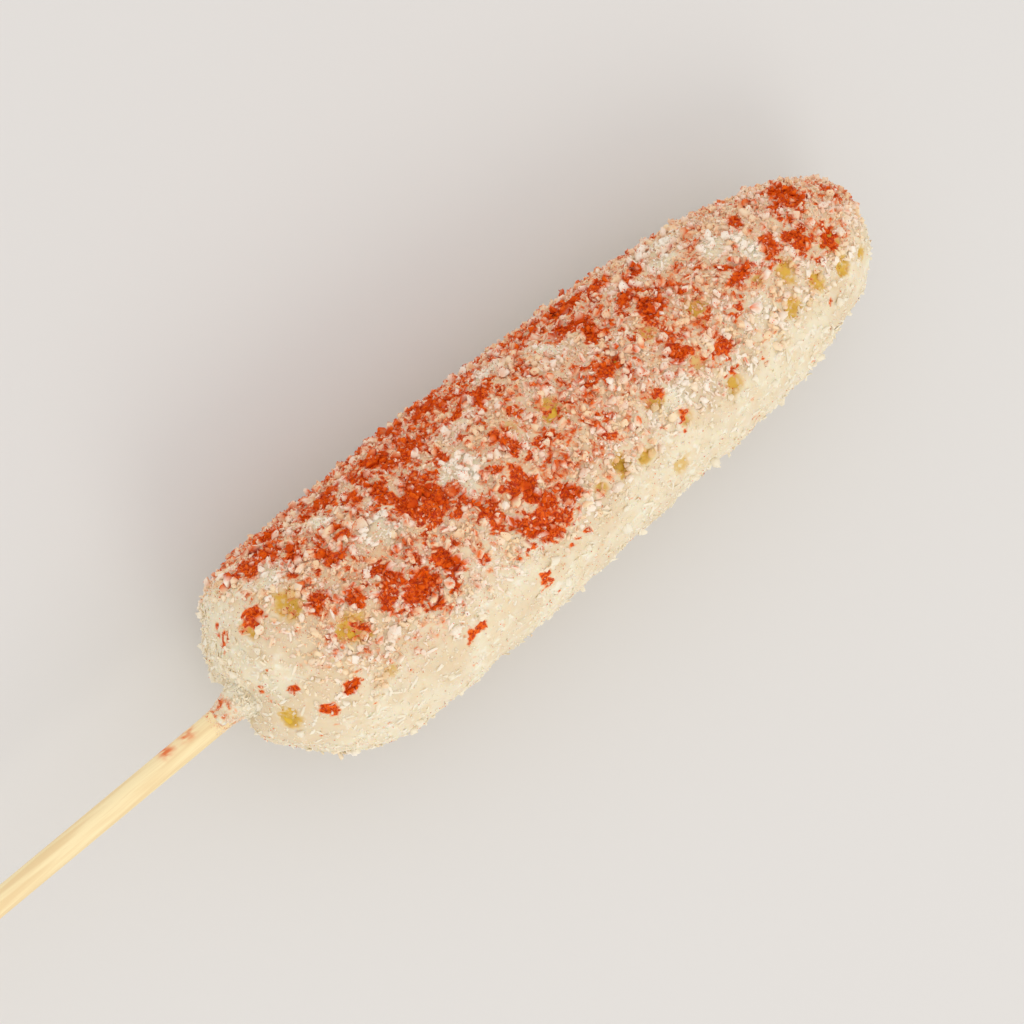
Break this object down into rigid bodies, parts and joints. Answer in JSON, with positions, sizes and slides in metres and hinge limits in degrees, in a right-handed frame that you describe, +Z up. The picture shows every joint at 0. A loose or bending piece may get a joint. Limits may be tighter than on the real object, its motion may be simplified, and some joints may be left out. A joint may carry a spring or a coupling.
{
  "type": "elote",
  "caption": "Ear of corn on a round wooden stick, thickly coated with cream and grated cheese and dusted with chili powder, lying on its side.",
  "frame": {"origin": "bottom centre of the whole, on the surface that it lies on", "axes": "+X along the length, from the stick towards the tip of the ear; +Z up, through the side that the picture shows"},
  "size_m": [0.3114, 0.0562, 0.0566],
  "materials": {
    "cream_coat": "soft satin cream with fine grains of cheese",
    "grated_cheese": "matt, crumbly, off-white",
    "chili_powder": "matt orange-red powder",
    "corn_kernel": "smooth moist yellow skin",
    "stick_wood": "plain unvarnished pale wood with fine grain"
  },
  "bodies": {
    "root": {"coated_ear": "cream_coat", "stick": "stick_wood"}
  },
  "joints": []
}
